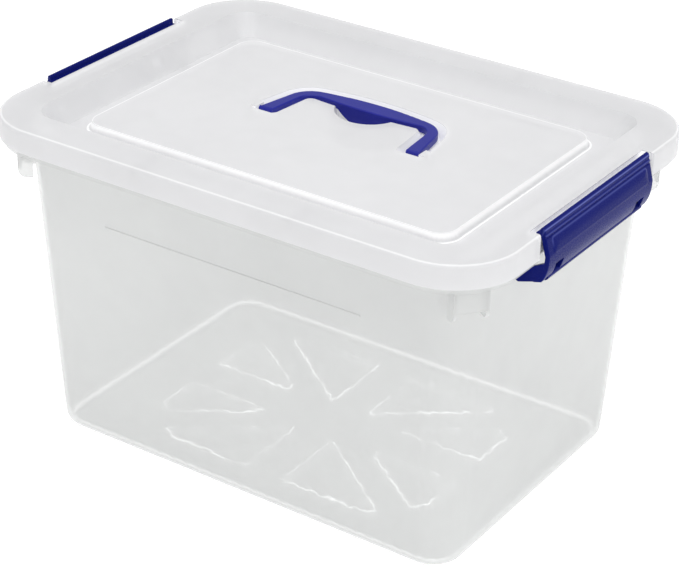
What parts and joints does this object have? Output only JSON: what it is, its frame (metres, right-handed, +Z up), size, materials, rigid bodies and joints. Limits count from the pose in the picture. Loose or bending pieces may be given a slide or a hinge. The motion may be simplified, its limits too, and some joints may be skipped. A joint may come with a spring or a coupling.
{
  "type": "latching storage tote",
  "caption": "Deep tapered storage tote with a dished translucent lid, a folding carry handle and a hinged latch at each end.",
  "frame": {"origin": "middle of the underside of the tub", "axes": "+X along the length towards the right-hand latch, +Y across towards the back, +Z up out of the lid"},
  "size_m": [0.4064, 0.295, 0.246],
  "materials": {
    "clear_plastic": "natural translucent polypropylene, fine vertical grain",
    "lid_plastic": "frosted translucent polypropylene",
    "latch_plastic": "moulded navy polypropylene, semi-gloss",
    "handle_plastic": "moulded blue polypropylene, semi-gloss"
  },
  "bodies": {
    "tub": {"tub": "clear_plastic"},
    "lid": {"lid": "lid_plastic"},
    "carry_handle": {"carry_handle": "handle_plastic"},
    "latch_right": {"latch_right": "latch_plastic"},
    "latch_left": {"latch_left": "latch_plastic"}
  },
  "joints": [
    {"name": "lid_lift", "type": "slide", "parent": "tub", "child": "lid", "axis": [0, 0, 1], "range_m": [0, 0.24]},
    {"name": "latch_right_swing", "type": "hinge", "parent": "tub", "child": "latch_right", "pos_m": [0.1832, 0, 0.2085], "axis": [0, 1, 0], "range_deg": [0, 105]},
    {"name": "latch_left_swing", "type": "hinge", "parent": "tub", "child": "latch_left", "pos_m": [-0.1832, 0, 0.2085], "axis": [0, -1, 0], "range_deg": [0, 105]},
    {"name": "handle_swing", "type": "hinge", "parent": "lid", "child": "carry_handle", "pos_m": [0, 0.001, 0.232], "axis": [1, 0, 0], "range_deg": [0, 92]}
  ]
}
